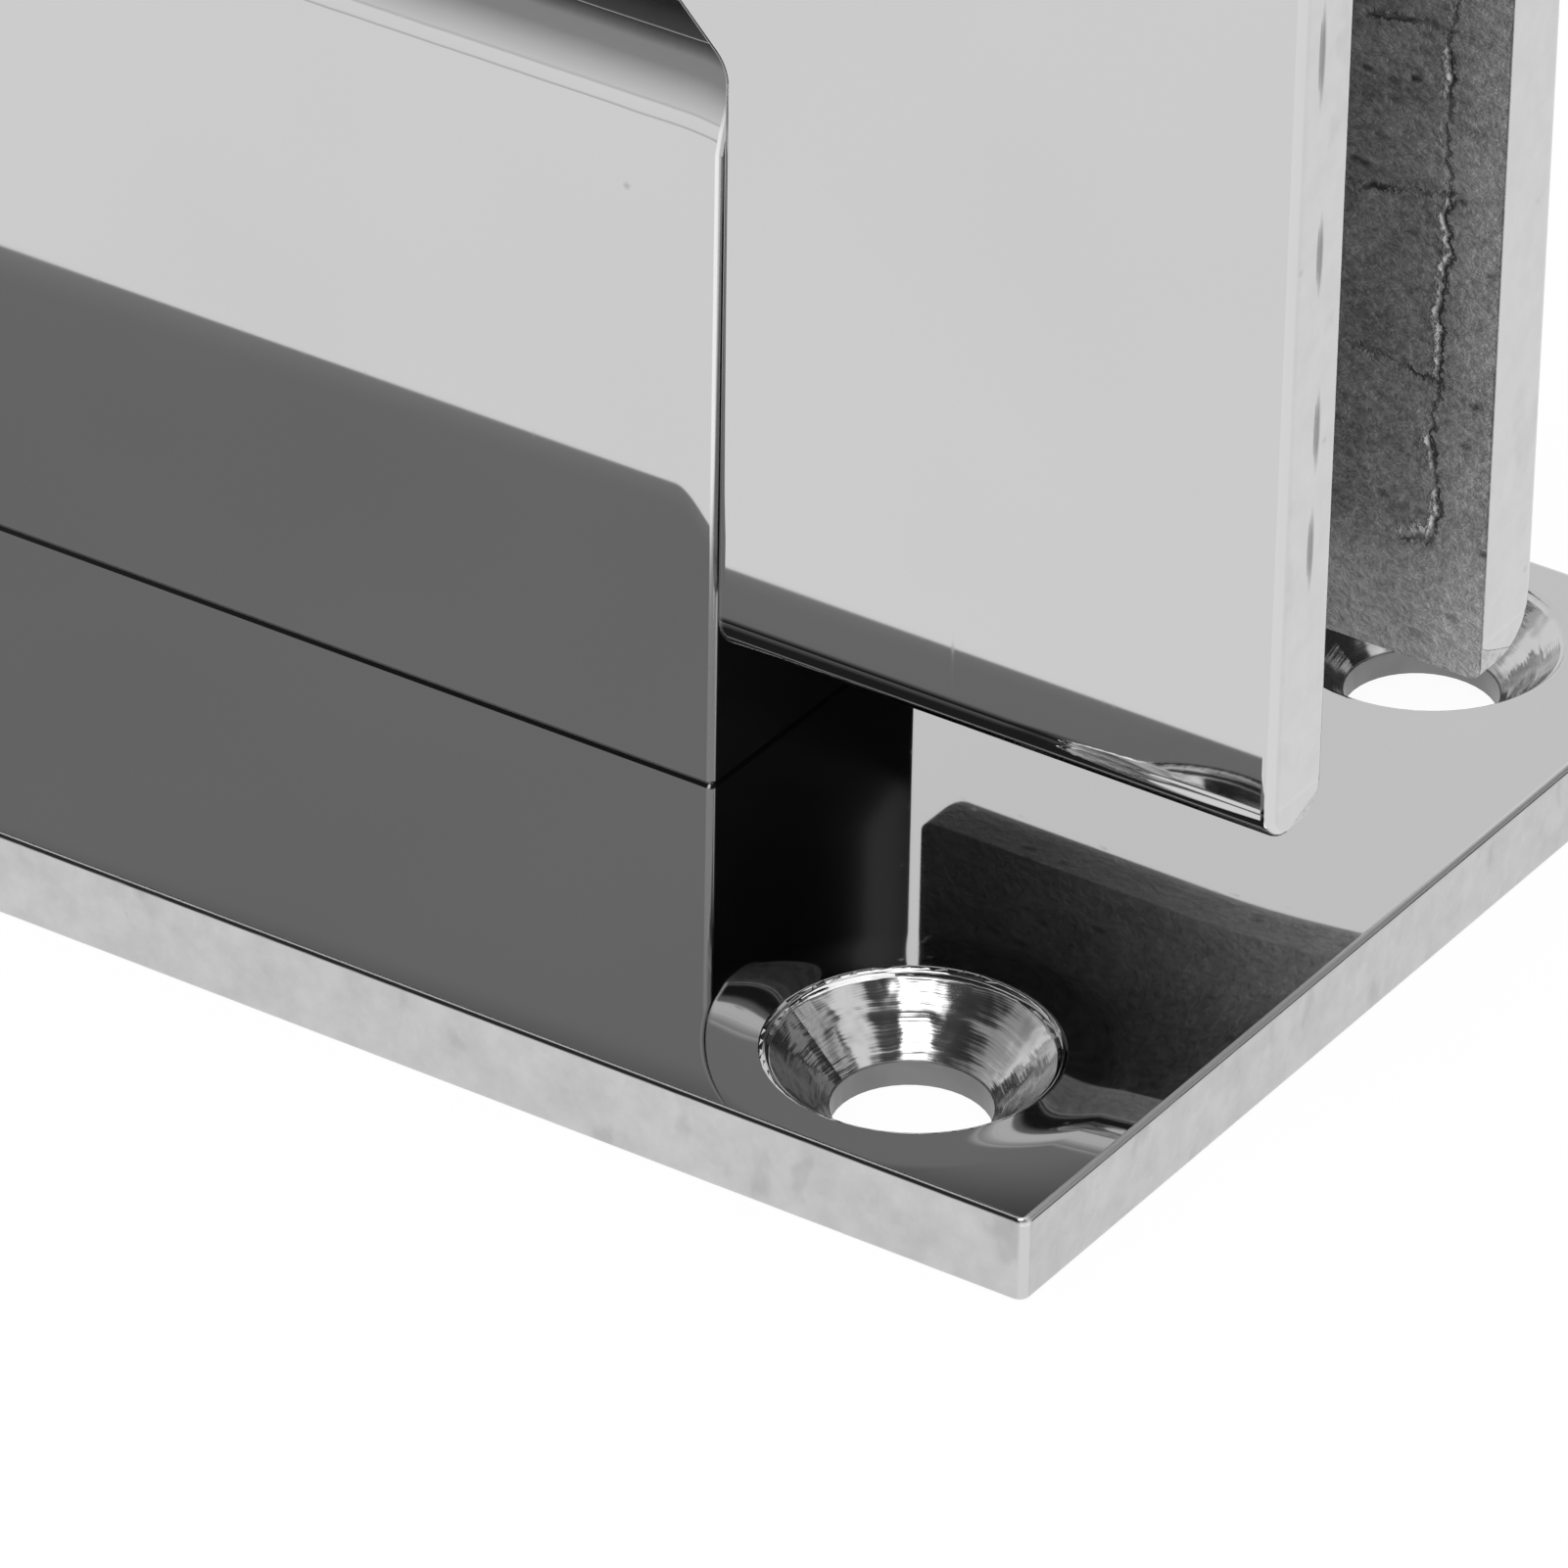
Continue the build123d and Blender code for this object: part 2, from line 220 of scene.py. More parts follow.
class Recipe:
    """Writes the nodes of one material or of the world."""

    def __init__(self, tree):
        self.tree = tree
        tree.nodes.clear()

    def node(self, kind, settings=None, inputs=None, output=0):
        """Adds a node, sets it up, fills its sockets with values or links, and gives one of its outputs."""
        made = self.tree.nodes.new(kind)
        for name, setting in (settings or {}).items():
            if name == "stops":
                self.set_stops(made.color_ramp, setting)
            else:
                setattr(made, name, setting)
        for socket, value in (inputs or {}).items():
            if isinstance(value, Value):
                self.tree.links.new(value.output, made.inputs[socket])
            else:
                made.inputs[socket].default_value = value
        return Value(self, made.outputs[output]) if made.outputs else made

    def set_stops(self, ramp, stops):
        """Gives a colour ramp its grey stops, as pairs of place and level."""
        while len(ramp.elements) < len(stops):
            ramp.elements.new(1.0)
        for element, (place, level) in zip(ramp.elements, stops):
            element.position = place
            element.color = (level, level, level, 1.0)

    def place(self):
        """The point on the piece, in metres in the hinge's own frame, as a vector and its three parts."""
        point = self.node("ShaderNodeTexCoord", output="Object")
        return (point, *self.parts(point))

    def parts(self, vector):
        """The three parts of a vector."""
        split = {"Vector": vector}
        return tuple(self.node("ShaderNodeSeparateXYZ", inputs=split, output=axis) for axis in "XYZ")

    def vector(self, x, y, z):
        """A point from three values."""
        return self.node("ShaderNodeCombineXYZ", inputs={0: x, 1: y, 2: z})

    def ray(self, kind):
        """1 for rays of the kind given and 0 for all others."""
        return self.node("ShaderNodeLightPath", output=f"Is {kind} Ray")

    def noise(self, point, size, detail=2.0, stretch=(1, 1, 1), roughness=0.5):
        """Cloudy variation with patches of about the size given, in metres."""
        scaled = self.node("ShaderNodeMapping", inputs={"Vector": point, "Scale": stretch})
        return self.node(
            "ShaderNodeTexNoise",
            inputs={"Vector": scaled, "Scale": 1.0 / size, "Detail": detail, "Roughness": roughness},
        )

    def specks(self, point, spacing, radius, stretch=(1, 1, 1)):
        """A mask of small round spots that lie about the spacing given apart."""
        scaled = self.node("ShaderNodeMapping", inputs={"Vector": point, "Scale": stretch})
        distance = self.node(
            "ShaderNodeTexVoronoi", inputs={"Vector": scaled, "Scale": 1.0 / spacing}, output="Distance"
        )
        return self.ramp(distance, [(0.0, 1.0), (radius / spacing, 0.0)])

    def ramp(self, value, stops):
        """A grey level that follows the value between the stops."""
        return self.node("ShaderNodeValToRGB", {"stops": stops}, {"Fac": value})

    def share(self, value, low, high):
        """0 below low, 1 above high and straight between them."""
        return self.node("ShaderNodeMapRange", inputs={"Value": value, 1: low, 2: high})

    def step(self, value, low, high):
        """0 below low, 1 above high and smooth between them."""
        settings = {"interpolation_type": "SMOOTHSTEP"}
        return self.node("ShaderNodeMapRange", settings, {"Value": value, 1: low, 2: high})

    def before(self, value, edge, start, full):
        """0 until the start and 1 from full on, which both lie a distance before an edge."""
        return self.step(value, edge - start, edge - full)

    def larger(self, first, second):
        """The larger of two values."""
        return self.node("ShaderNodeMath", {"operation": "MAXIMUM"}, {0: first, 1: second})

    def blend(self, factor, first, second):
        """A colour between two colours."""
        settings = {"data_type": "RGBA"}
        return self.node("ShaderNodeMix", settings, {0: factor, 6: first, 7: second}, output=2)

    def grey(self, level):
        """A neutral colour whose level is a value."""
        return self.node("ShaderNodeCombineColor", inputs={0: level, 1: level, 2: level})

    def bump(self, height, distance):
        """A normal raised by a height from 0 to 1 times the distance, in metres."""
        return self.node("ShaderNodeBump", inputs={"Height": height, "Distance": distance})

    def surface(self, **sockets):
        """The finished surface, from the sockets given by name."""
        shader = self.node("ShaderNodeBsdfPrincipled", inputs=sockets)
        self.node("ShaderNodeOutputMaterial", inputs={"Surface": shader})


def new_material(name):
    """An empty material and the recipe that fills it."""
    material = bpy.data.materials.new(name)
    material.use_nodes = True
    return material, Recipe(material.node_tree)


def finish_node(node, material):
    """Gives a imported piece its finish."""
    for slot in frame["nodes"][node].material_slots:
        slot.material = material


class Steel:
    """Builds up the finish of one steel piece: its grey level, roughness, share of metal and relief."""

    def __init__(self, name, level):
        self.material, self.make = new_material(name)
        self.point, self.x, self.y, self.z = self.make.place()
        self.level = level
        self.rough = POLISH_ROUGHNESS
        self.metal = 1.0
        self.height = 0.0

    def cover(self, mask, level, rough, metal=1.0):
        """Turns the masked places to another level, roughness and share of metal."""
        self.level = self.level + (level - self.level) * mask
        self.rough = self.rough + (rough - self.rough) * mask
        self.metal = self.metal + (metal - self.metal) * mask

    def shift(self, mask, level=0.0, rough=0.0, height=0.0):
        """Adds to the level, the roughness and the relief what is given, times the mask."""
        if level:
            self.level = self.level + mask * level
        if rough:
            self.rough = self.rough + mask * rough
        if height:
            self.height = self.height + mask * height

    def polish(self):
        """Faint buffing clouds, hairlines and a few small pits."""
        make = self.make
        clouds = make.noise(self.point, size=14 * MM, detail=1.0)
        lines = make.noise(self.point, size=0.5 * MM, detail=1.0, stretch=(1, 1, 0.04))
        hairlines = make.step(lines, 0.66, 0.8)
        pits = make.specks(self.point, spacing=7.0 * MM, radius=0.2 * MM)
        self.shift(clouds - 0.5, level=0.03)
        self.shift(clouds, rough=0.02, height=0.003 * MM)
        self.shift(hairlines, rough=0.05)
        self.shift(pits, level=-0.2)

    def satin(self, mask, level, marks=1.0):
        """Sides that were ground and only lightly polished: soft, mottled, stained and a little wavy."""
        make = self.make
        mottle = make.noise(self.point, size=1.6 * MM, detail=3.0, roughness=0.65)
        clouds = make.noise(self.point, size=2.2 * MM, detail=3.0, stretch=(1, 1, 0.6))
        stains = make.step(clouds, 0.6, 0.72)
        dots = make.specks(self.point, spacing=2.4 * MM, radius=0.2 * MM)
        change = (mottle - 0.5) * MOTTLE_CONTRAST - stains * STAIN_DARKENING - dots * DOT_DARKENING
        self.cover(mask, level=level + change * marks, rough=0.1 + mottle * 0.15)
        self.shift(mottle * mask, height=0.03 * MM)

    def worn_edge(self, across, edge, width, tilt):
        """A face that polishing has rolled off towards its edge, by a tilt that grows over a width."""
        beyond = self.make.share(across, edge - width, edge)
        self.shift(beyond**3, height=-tilt * width / 3)

    def painted_highlight_edge(self, across, low, high, foot, level, rough):
        """A rounded edge, above a height, that handling and buffing have burnished rougher, with a painted
        highlight that lightens it.
        """
        make = self.make
        line = make.step(across, low, low + 0.05 * MM) * (1 - make.step(across, high - 0.03 * MM, high))
        self.cover(line * make.step(self.z, foot, foot + 0.05 * MM), level, rough)

    def turned(self, across, up, mouth, land):
        """A countersink: polished-in mouth, turning marks on its cone and a dull land under it, darkened
        with painted shade.
        """
        make = self.make
        radius = (across**2 + up**2) ** 0.5
        self.shift(1 - make.step(radius, mouth, mouth + DISH_WIDTH), height=-DISH_DEPTH)
        inside = 1 - make.before(radius, mouth, start=0.3 * MM, full=0.1 * MM)
        wobble = make.noise(self.point, size=2.0 * MM, detail=2.0)
        ring = make.vector(radius + wobble * RING_WOBBLE, 0.0, 0.0)
        rings = make.noise(ring, size=0.4 * MM, detail=3.0)
        self.shift(rings * inside, height=RING_RELIEF)
        self.shift(wobble * inside, height=CONE_RELIEF)
        blotches = make.step(make.noise(self.point, size=1.4 * MM, detail=2.0), 0.5, 0.75)
        cone_level = self.level + CONE_GAIN - blotches * BLOTCH_DARKENING
        self.cover(inside, level=cone_level, rough=0.09 + rings * 0.12)
        # Painted shade: the bore under the cone turns dark
        bore = 1 - make.step(radius, land + 0.02 * MM, land + 0.08 * MM)
        self.cover(bore, level=LAND_SHADE + rings * 0.12 + wobble * 0.06, rough=0.4)

    def raw(self, nearness):
        """Faces nearer to the middle than given stay as cast: dull, scored, pitted and stained, and
        darkened with painted shade towards the middle of the hinge's length.
        """
        make = self.make
        foot = 1 - make.step(self.z, FRONT_LOW.z, FRONT_LOW.z + FOOT_RADIUS)
        depth = abs(self.y) - foot * FOOT_SPREAD
        mask = 1 - make.step(depth, nearness, nearness + 0.06 * MM)
        grain = make.noise(self.point, size=0.3 * MM, detail=3.0, stretch=(0.6, 1, 1), roughness=0.7)
        scores = make.noise(self.point, size=0.35 * MM, detail=1.0, stretch=(0.12, 1, 1))
        stains = make.noise(self.point, size=2.4 * MM, detail=4.0, roughness=0.6)
        pits = make.specks(self.point, spacing=1.3 * MM, radius=0.26 * MM, stretch=(0.6, 1, 1.2))
        low = 1 - make.step(self.z, FRONT_LOW.z + 2 * MM, FRONT_LOW.z + 7 * MM)
        rim = make.step(self.x, PALE_RIM_START, PALE_RIM_FULL)
        fine = (grain - 0.5) * CAST_GRAIN + (scores - 0.5) * CAST_SCORES - pits * CAST_PITS
        # Painted shade: the level falls to SHADED_SHARE towards the middle of the hinge's length
        shade = SHADED_SHARE + make.step(abs(self.x), SHADE_START, SHADE_END) * (1 - SHADED_SHARE)
        level = (SKIN_LEVEL + stains * CAST_STAINS + fine + low * PALE_FOOT + rim * PALE_RIM) * shade
        self.cover(mask, level, rough=0.5 + grain * 0.15, metal=SKIN_METAL)
        self.shift(grain * mask, height=0.16 * MM)
        self.shift(scores * mask, height=0.03 * MM)
        self.shift(pits * mask, height=-0.08 * MM)
        return mask

    def tear(self, mask, across, along, low, high, burr_size):
        """A broken hot tear: a gap that wanders along its length, darkened with painted shade, and a
        crumbled burr beside it, lightened with a painted highlight on its lit side.
        """
        make = self.make
        drift = make.noise(make.vector(along, low, 0.0), size=2.4 * MM, detail=4.0, roughness=0.65)
        away = across - (drift - 0.5) * TEAR_DRIFT
        start = make.step(along, low, low + TEAR_TAPER)
        reach = start * (1 - make.step(along, high - TEAR_TAPER, high)) * mask
        crumbs = make.noise(self.point, size=0.4 * MM, detail=3.0, roughness=0.7)
        patches = make.step(make.noise(self.point, size=3.0 * MM, detail=1.0), 0.44, 0.56)
        width = make.step(crumbs, 0.35, 0.65)
        shaded_gap = (1 - make.step(abs(away), 0.02 * MM, width * GAP_WIDTH + 0.04 * MM)) * reach
        burr_end = width * patches * (burr_size * BURR_WIDTH) + 0.03 * MM
        highlit_burr = 1 - make.step(abs(away + burr_size * BURR_OFFSET), 0.02 * MM, burr_end)
        highlit_burr = highlit_burr * width * patches * reach * min(burr_size, 1.0)
        # Painted shade darkens the gap, and a painted highlight lightens the burr
        self.level = self.level * (1 - shaded_gap * (0.3 + patches * 0.5))
        self.shift(highlit_burr, level=BURR_HIGHLIGHT, height=BURR_HEIGHT)
        self.shift(shaded_gap, height=-GAP_DEPTH)

    def streak(self, across, low, high):
        """A long shallow dent left on a plate's end face by grinding."""
        make = self.make
        middle, half = (low + high) / 2, (high - low) / 2
        away = ((across / STREAK_HALF_WIDTH) ** 2 + ((self.z - middle) / half) ** 2) ** 0.5
        dent = (1 - make.step(away, 0.3, 1.0)) * make.step(self.x, STREAK_START, STREAK_FULL)
        self.level = self.level * (1 - dent * STREAK_DARKENING)
        self.shift(dent, height=-STREAK_DEPTH)

    def done(self):
        """The finished material."""
        make = self.make
        make.surface(
            **{
                "Base Color": make.grey(self.level),
                "Metallic": self.metal,
                "Roughness": self.rough,
                "Normal": make.bump(self.height, 1.0),
            }
        )
        return self.material


def wall_plate_steel(level):
    """Polished top, satin sides and turned countersinks."""
    steel = Steel("wall_plate_polish", level)
    steel.polish()
    make = steel.make
    reach_x, reach_y = abs(steel.x), abs(steel.y)
    end_x, end_y = PLATE_HIGH.x, PLATE_HIGH.y
    steel.worn_edge(reach_x, end_x, PLATE_ROLL_WIDTH, PLATE_ROLL)
    steel.worn_edge(reach_y, end_y, PLATE_ROLL_WIDTH, PLATE_ROLL)
    rim = PLATE_HIGH.z - PLATE_EDGE
    steel.painted_highlight_edge(reach_x, low=end_x - PLATE_EDGE, high=end_x, foot=rim, level=0.8, rough=0.5)
    front_high = end_y - 0.1 * MM
    steel.painted_highlight_edge(reach_y, low=end_y - PLATE_EDGE, high=front_high, foot=rim, level=0.7, rough=0.25)
    ends = make.before(reach_x, end_x, start=0.04 * MM, full=0.01 * MM)
    fronts = make.before(reach_y, end_y, start=0.08 * MM, full=0.02 * MM)
    steel.satin(ends, level * PLATE_END_SHARE)
    steel.satin(fronts, level * PLATE_FRONT_SHARE)
    hole_x = SCREW_PATTERN["spacing_x_mm"] * MM / 2
    hole_y = SCREW_PATTERN["spacing_y_mm"] * MM / 2
    steel.turned(reach_x - hole_x, reach_y - hole_y, MOUTH_RADIUS, SCREW_PATTERN["hole_r_mm"] * MM)
    return steel.done()


def block_steel(level):
    """Mirror polish that rolls off a little at both ends, a slightly wavy crown, and painted shade on the
    end faces and on a thin strip at the foot next to them.
    """
    steel = Steel("block_polish", level)
    steel.polish()
    make = steel.make
    end, bottom = BLOCK_HIGH.x, BLOCK_LOW.z
    waves = make.noise(steel.point, size=2.5 * MM, detail=3.0, stretch=(1, 0.4, 0.4))
    crown = make.before(steel.z, BLOCK_HIGH.z, start=CROWN_DEPTH, full=CROWN_DEPTH - 1.0 * MM)
    steel.shift(waves * crown, height=CROWN_WAVES)
    reach = abs(steel.x)
    steel.worn_edge(reach, end, BLOCK_ROLL_WIDTH, BLOCK_ROLL)
    steel.painted_highlight_edge(reach, low=end - BLOCK_EDGE, high=end - 0.02 * MM, foot=bottom, level=0.85, rough=0.2)
    # Painted shade: the end faces, which stand in the clamps' notch, and a thin strip at the foot next to
    # them, where the block meets the plate, turn near black
    ends = make.before(reach, end, start=0.04 * MM, full=0.01 * MM)
    foot = 1 - make.step(steel.z, bottom + 0.14 * MM, bottom + 0.2 * MM)
    foot = foot * make.before(reach, end, start=0.2 * MM, full=0.12 * MM)
    steel.cover(make.larger(ends, foot), BLOCK_END_SHADE, DARK_END_ROUGHNESS)
    return steel.done()


def clamp_steel(name, level, end):
    """Polished outside, ground end faces, a rolled foot, painted shade in the notch and a raw inner face.
    """
    steel = Steel(name, level)
    steel.polish()
    make = steel.make
    reach = abs(steel.x)
    bottom = FRONT_LOW.z
    steel.painted_highlight_edge(reach, low=end - CLAMP_EDGE, high=end - 0.02 * MM, foot=bottom, level=0.66, rough=0.2)
    steel.satin(make.before(reach, end, start=0.08 * MM, full=0.02 * MM), level, CLAMP_END_MARKS)
    steel.worn_edge(-steel.z, -(bottom + FOOT_RADIUS), FOOT_ROLL_WIDTH, FOOT_ROLL)
    # Painted shade: the notch round the block, behind the outer face, turns dark
    notch_x = BLOCK_HIGH.x + NOTCH_SIDE_GAP
    notch_z = BLOCK_HIGH.z + NOTCH_TOP_GAP
    aside = make.step(reach, notch_x, notch_x + 0.02 * MM)
    above = make.step(steel.z, notch_z, notch_z + 0.02 * MM)
    behind_face = 1 - make.before(abs(steel.y), REAR_HIGH.y, start=0.35 * MM, full=0.3 * MM)
    steel.cover((1 - aside) * (1 - above) * behind_face, NOTCH_SHADE, NOTCH_ROUGHNESS)
    inner_face = steel.raw(REAR_LOW.y)
    return steel, inner_face


def front_clamp_steel(level):
    """The front plate, with long dents on its right end face."""
    steel, _inner_face = clamp_steel("front_plate_polish", level, FRONT_HIGH.x)
    for across, low, high in END_STREAKS:
        steel.streak(steel.y - across * MM, low * MM, high * MM)
    return steel.done()


def rear_clamp_steel(level):
    """The rear plate, with hot tears near the right edge of its raw inner face."""
    steel, inner_face = clamp_steel("rear_plate_polish", level, REAR_HIGH.x)
    across = steel.x - TEAR_X
    steel.tear(inner_face, across, steel.z, TEAR_FOOT, REAR_HIGH.z - TEAR_HEADROOM, burr_size=1.0)
    for height, start, rise, burr_size in TEAR_BRANCHES:
        away = across * rise - (steel.z - height * MM)
        steel.tear(inner_face, away, steel.x, start * MM, TEAR_X + 0.3 * MM, burr_size)
    return steel.done()


def darker(colour, share):
    """A colour at a share of its brightness."""
    return (*(part * share for part in colour[:3]), 1)


def plain_metal(name, colour, roughness, line_size, stretch=(1, 1, 1)):
    """Turned, ground or drawn metal, with fine lines along one direction."""
    material, make = new_material(name)
    point = make.place()[0]
    lines = make.noise(point, line_size, detail=3.0, stretch=stretch)
    clouds = make.noise(point, size=4 * MM, detail=3.0)
    make.surface(
        **{
            "Base Color": make.blend(clouds, darker(colour, 0.85), colour),
            "Metallic": 1.0,
            "Roughness": roughness + (lines - 0.5) * 0.2,
            "Normal": make.bump(lines, 0.004 * MM),
        }
    )
    return material


def soft_matt(name, colour, roughness, grain_size):
    """Matt plastic or rubber with a fine grain."""
    material, make = new_material(name)
    point = make.place()[0]
    grain = make.noise(point, grain_size, detail=4.0)
    clouds = make.noise(point, size=8 * MM, detail=2.0)
    make.surface(
        **{
            "Base Color": make.blend(clouds, darker(colour, 0.8), colour),
            "Roughness": roughness + (grain - 0.5) * 0.15,
            "Normal": make.bump(grain, 0.02 * MM),
        }
    )
    return material


class HingeFinish(bpy.types.PropertyGroup):
    """Colours and finishes of the hinge's metals and gaskets."""

    steel_level: FloatProperty(
        name="Steel Level", description="How much of the light polished steel reflects", default=0.6,
        min=0.0, max=1.0, subtype="FACTOR",
    )
    bronze_colour: FloatVectorProperty(
        name="Bronze", description="Colour of the bushes", default=(0.55, 0.36, 0.18, 1.0), size=4,
        subtype="COLOR",
    )
    gasket_colour: FloatVectorProperty(
        name="Gasket", description="Colour of the gaskets", default=(0.06, 0.06, 0.062, 1.0), size=4,
        subtype="COLOR",
    )


class HingeStudio(bpy.types.PropertyGroup):
    """Light and camera."""

    camera_azimuth: FloatProperty(
        name="Camera Azimuth", description="Turn of the camera round the hinge",
        default=math.radians(33.21), subtype="ANGLE",
    )
    camera_elevation: FloatProperty(
        name="Camera Elevation", description="Height of the camera above the horizon",
        default=math.radians(31.63), subtype="ANGLE",
    )
    camera_roll: FloatProperty(
        name="Camera Roll", description="Turn of the camera about its own axis",
        default=math.radians(1.02), subtype="ANGLE",
    )
    camera_place: FloatVectorProperty(
        name="Camera Place", description="Where the camera stands",
        default=(0.24435, -0.34563, 0.25405), subtype="TRANSLATION", unit="LENGTH",
    )
    lens: FloatProperty(
        name="Lens", description="Focal length on a 36 mm wide sensor", default=293.94, unit="CAMERA",
    )
    lamp_direction: FloatVectorProperty(
        name="Lamp Direction", description="Where the lamp stands, seen from the hinge",
        default=(0.2, -0.35, 0.9), subtype="XYZ",
    )
    lamp_distance: FloatProperty(
        name="Lamp Distance", description="How far the lamp stands away", default=0.8, unit="LENGTH",
    )
    lamp_size: FloatProperty(
        name="Lamp Size", description="Side of the square lamp", default=0.4, unit="LENGTH",
    )
    lamp_power: FloatProperty(
        name="Lamp Power", description="Power of the lamp", default=1.2, unit="POWER",
    )


class HINGE_OT_polished_plates(bpy.types.Operator):
    """Finish the wall plate, the pivot block and the two clamp plates"""

    bl_idname = "hinge.polished_plates"
    bl_label = "Polished Plates"

    def execute(self, context):
        level = context.scene.hinge_finish.steel_level
        finish_node("wall_plate", wall_plate_steel(level))
        finish_node("pivot_block", block_steel(level))
        finish_node("front_clamp_plate", front_clamp_steel(level))
        finish_node("rear_clamp_plate", rear_clamp_steel(level))
        return {"FINISHED"}


class HINGE_OT_pin_and_detents(bpy.types.Operator):
    """Finish the pin, the bushes, the washers and the detents"""

    bl_idname = "hinge.pin_and_detents"
    bl_label = "Pin and Detents"

    def execute(self, context):
        finish = context.scene.hinge_finish
        ground = plain_metal(
            "ground_pin_steel", colour=(0.5, 0.5, 0.51, 1), roughness=0.2, line_size=0.2 * MM,
            stretch=(0.05, 1, 1),
        )
        wire = plain_metal("spring_wire", colour=(0.3, 0.3, 0.32, 1), roughness=0.3, line_size=0.3 * MM)
        bronze = plain_metal(
            "sintered_bronze", colour=tuple(finish.bronze_colour), roughness=0.45, line_size=0.25 * MM
        )
        nylon = soft_matt("washer_nylon", colour=(0.8, 0.79, 0.75, 1), roughness=0.5, grain_size=0.3 * MM)
        finish_node("pivot_pin", ground)
        for side in SIDES:
            finish_node(f"{side}_detent_plunger", ground)
            finish_node(f"{side}_detent_spring", wire)
            finish_node(f"{side}_bush", bronze)
            finish_node(f"{side}_thrust_washer", nylon)
        return {"FINISHED"}


class HINGE_OT_screws(bpy.types.Operator):
    """Finish the screws"""

    bl_idname = "hinge.screws"
    bl_label = "Screws"

    def execute(self, context):
        turned = plain_metal(
            "turned_screw_steel", colour=(0.55, 0.55, 0.56, 1), roughness=0.22, line_size=0.2 * MM
        )
        for side in SIDES:
            for kind in ("block_screw", "clamp_screw", "pin_lock_screw"):
                finish_node(f"{side}_{kind}", turned)
        return {"FINISHED"}


class HINGE_OT_gaskets(bpy.types.Operator):
    """Finish the two gaskets that hold the glass"""

    bl_idname = "hinge.gaskets"
    bl_label = "Gaskets"

    def execute(self, context):
        colour = tuple(context.scene.hinge_finish.gasket_colour)
        rubber = soft_matt("gasket_rubber", colour, roughness=0.6, grain_size=0.25 * MM)
        for node in ("front_gasket", "rear_gasket"):
            finish_node(node, rubber)
        return {"FINISHED"}


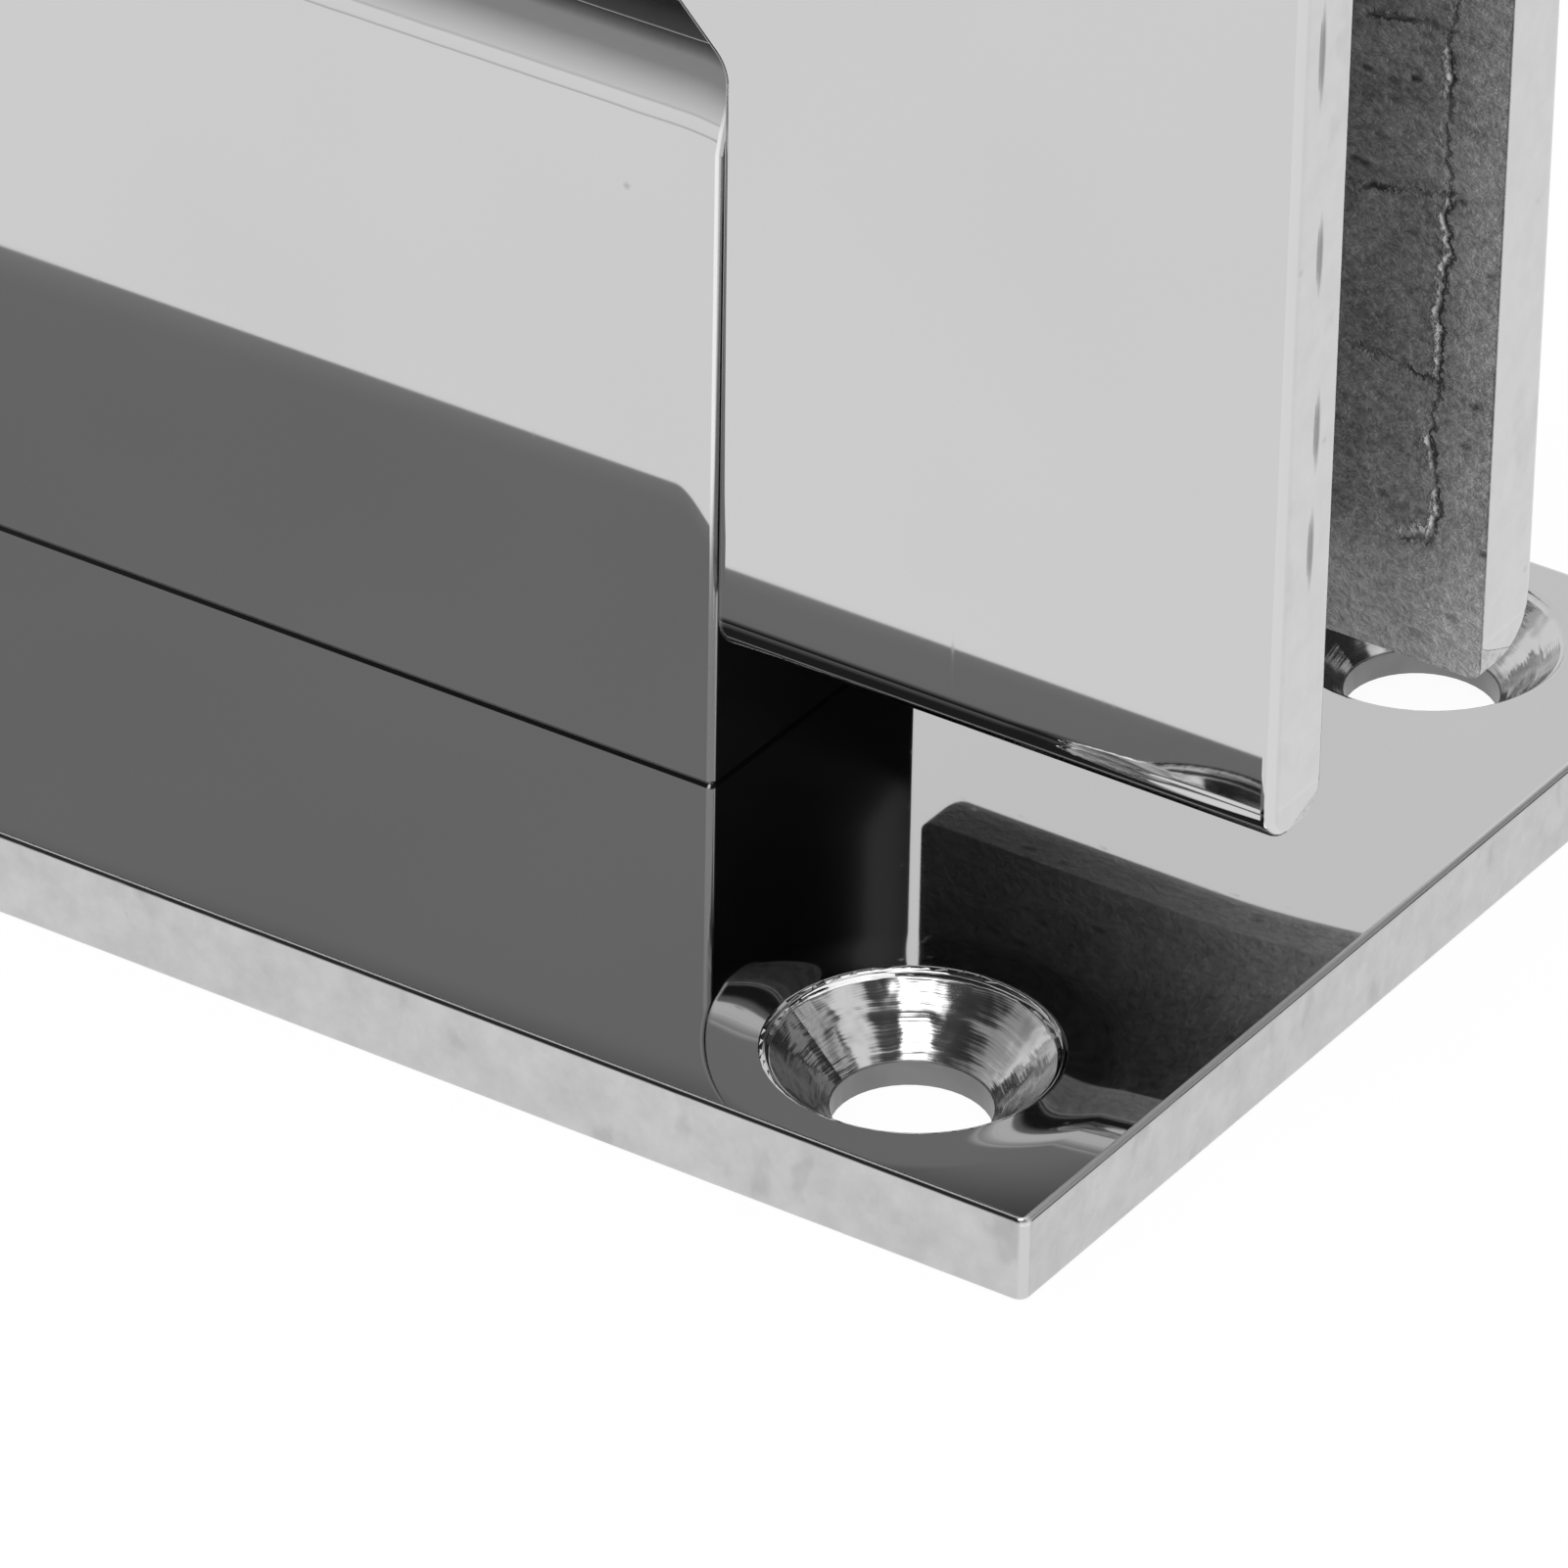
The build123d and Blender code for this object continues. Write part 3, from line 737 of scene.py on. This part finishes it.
class HINGE_OT_studio(bpy.types.Operator):
    """Set up the surroundings, the floor, the light and the camera"""

    bl_idname = "hinge.studio"
    bl_label = "Studio"

    def execute(self, context):
        studio = context.scene.hinge_studio
        self.make_world(context.scene)
        self.make_floor()
        self.make_lamp(studio)
        self.make_camera(context.scene, studio)
        context.scene.view_settings.view_transform = "Standard"
        return {"FINISHED"}

    def make_world(self, scene):
        """What mirrors see: a pale tent, graded to a dark top at the front, and a black card behind."""
        world = bpy.data.worlds.new("studio_tent")
        world.use_nodes = True
        scene.world = world
        make = Recipe(world.node_tree)
        x, y, z = make.parts(make.node("ShaderNodeTexCoord", output="Generated"))
        front = make.ramp(z, FRONT_SKY)
        card = make.step(x, *CARD_SIDE) * make.step(y, *CARD_FRONT) * (1 - make.step(z, *CARD_TOP))
        back = BACK_LEVEL - card * CARD_DARKENING
        level = front + (back - front) * make.step(y, *BACK_BORDER)
        tent = make.node("ShaderNodeBackground", inputs={"Color": make.grey(level), "Strength": 1.0})
        fill = make.node("ShaderNodeBackground", inputs={"Color": (1, 1, 1, 1), "Strength": FILL_STRENGTH})
        white = make.node("ShaderNodeBackground", inputs={"Color": (1, 1, 1, 1), "Strength": 1.0})
        lit = make.node("ShaderNodeMixShader", inputs={0: make.ray("Glossy"), 1: fill, 2: tent})
        seen = make.node("ShaderNodeMixShader", inputs={0: make.ray("Camera"), 1: lit, 2: white})
        make.node("ShaderNodeOutputWorld", inputs={"Surface": seen})

    def make_floor(self):
        """A white floor that keeps a soft shadow."""
        bpy.ops.object.select_all(action="DESELECT")
        bpy.ops.mesh.primitive_plane_add(size=FLOOR_SIZE, location=(0, 0, -FLOOR_DROP))
        floor = bpy.context.object
        floor.name = "studio_floor"
        bpy.ops.object.transform_apply(location=True, rotation=False, scale=False)
        material, make = new_material("floor_white")
        camera_ray = make.ray("Camera")
        diffuse = make.node("ShaderNodeBsdfDiffuse", inputs={"Color": FLOOR_WHITE})
        brightness = make.grey(camera_ray * (1 - MIRRORED_SHARE) + MIRRORED_SHARE)
        glow = make.node("ShaderNodeEmission", inputs={"Color": brightness, "Strength": FLOOR_BRIGHTNESS})
        seen = camera_ray * FLOOR_GLOW + make.ray("Glossy")
        surface = make.node("ShaderNodeMixShader", inputs={0: seen, 1: diffuse, 2: glow})
        make.node("ShaderNodeOutputMaterial", inputs={"Surface": surface})
        floor.data.materials.append(material)

    def make_lamp(self, studio):
        """One large soft lamp above the hinge, a little in front, which mirrors see as a bright square."""
        away = Vector(studio.lamp_direction).normalized()
        bpy.ops.object.light_add(type="AREA", location=away * studio.lamp_distance)
        lamp = bpy.context.object
        lamp.name = "soft_lamp"
        lamp.data.size = studio.lamp_size
        lamp.data.energy = studio.lamp_power
        lamp.rotation_euler = (-away).to_track_quat("-Z", "Y").to_euler()

    def make_camera(self, scene, studio):
        """The camera, from the angle given by its azimuth, elevation and roll."""
        azimuth, elevation, roll = studio.camera_azimuth, studio.camera_elevation, studio.camera_roll
        level_right = Vector((math.cos(azimuth), math.sin(azimuth), 0))
        level_forward = Vector((-math.sin(azimuth), math.cos(azimuth), 0))
        forward = level_forward * math.cos(elevation) - Vector((0, 0, math.sin(elevation)))
        level_up = level_right.cross(forward)
        right = level_right * math.cos(roll) + level_up * math.sin(roll)
        up = level_up * math.cos(roll) - level_right * math.sin(roll)
        bpy.ops.object.camera_add()
        camera = bpy.context.object
        camera.name = "studio_camera"
        camera.data.sensor_width = 36.0
        camera.data.lens = studio.lens
        camera.data.clip_start = 0.01
        camera.data.clip_end = 20.0
        turn = Matrix((right, up, -forward)).transposed().to_4x4()
        camera.matrix_world = Matrix.Translation(studio.camera_place) @ turn
        scene.camera = camera


STEPS = (
    HINGE_OT_polished_plates,
    HINGE_OT_pin_and_detents,
    HINGE_OT_screws,
    HINGE_OT_gaskets,
    HINGE_OT_studio,
)


class HINGE_PT_sidebar(bpy.types.Panel):
    """The hinge's steps, in the 3D view's sidebar"""

    bl_label = "Hinge"
    bl_idname = "HINGE_PT_sidebar"
    bl_space_type = "VIEW_3D"
    bl_region_type = "UI"
    bl_category = "Hinge"

    def draw(self, context):
        for step in STEPS:
            self.layout.operator(step.bl_idname)
        for group in (context.scene.hinge_finish, context.scene.hinge_studio):
            for name in group.bl_rna.properties.keys():
                if name not in ("name", "rna_type"):
                    self.layout.prop(group, name)


CLASSES = (HingeFinish, HingeStudio, *STEPS, HINGE_PT_sidebar)


def register():
    for item in CLASSES:
        bpy.utils.register_class(item)
    bpy.types.Scene.hinge_finish = PointerProperty(type=HingeFinish)
    bpy.types.Scene.hinge_studio = PointerProperty(type=HingeStudio)


def unregister():
    del bpy.types.Scene.hinge_studio
    del bpy.types.Scene.hinge_finish
    for item in reversed(CLASSES):
        bpy.utils.unregister_class(item)


def main():
    register()
    bpy.ops.hinge.studio()
    bpy.ops.hinge.polished_plates()
    bpy.ops.hinge.pin_and_detents()
    bpy.ops.hinge.screws()
    bpy.ops.hinge.gaskets()


if __name__ == "__main__":
    main()
